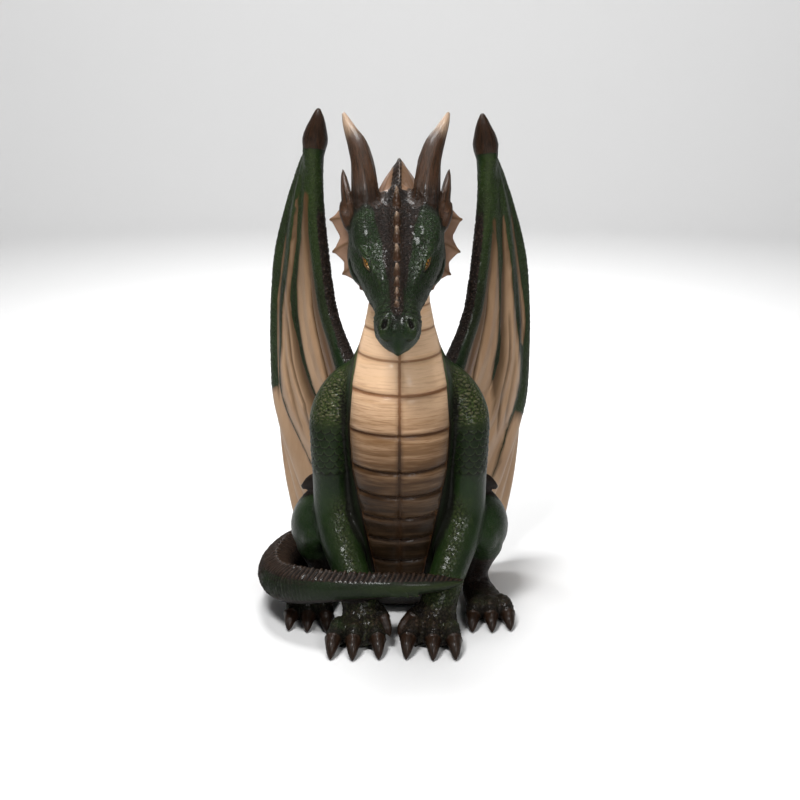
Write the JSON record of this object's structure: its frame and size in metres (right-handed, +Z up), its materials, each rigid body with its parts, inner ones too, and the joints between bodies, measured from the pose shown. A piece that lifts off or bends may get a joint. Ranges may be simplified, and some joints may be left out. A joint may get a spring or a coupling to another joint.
{
  "type": "dragon statue",
  "caption": "Seated dragon statue with folded upright wings, horned lowered head, plated belly and a tail laid across the front ankles; stands on its feet and rump.",
  "frame": {"origin": "middle of the bounding box's underside, on the surface the statue stands on", "axes": "+Z up, the dragon faces -Y, +X to the right of someone looking at its face"},
  "size_m": [0.6807, 0.7002, 1.2063],
  "materials": {
    "painted_casting": "bottle green paint with dark brown scutes, cream belly and wing skins, clear gloss varnish"
  },
  "bodies": {
    "root": {"dragon_statue": "painted_casting"}
  },
  "joints": []
}
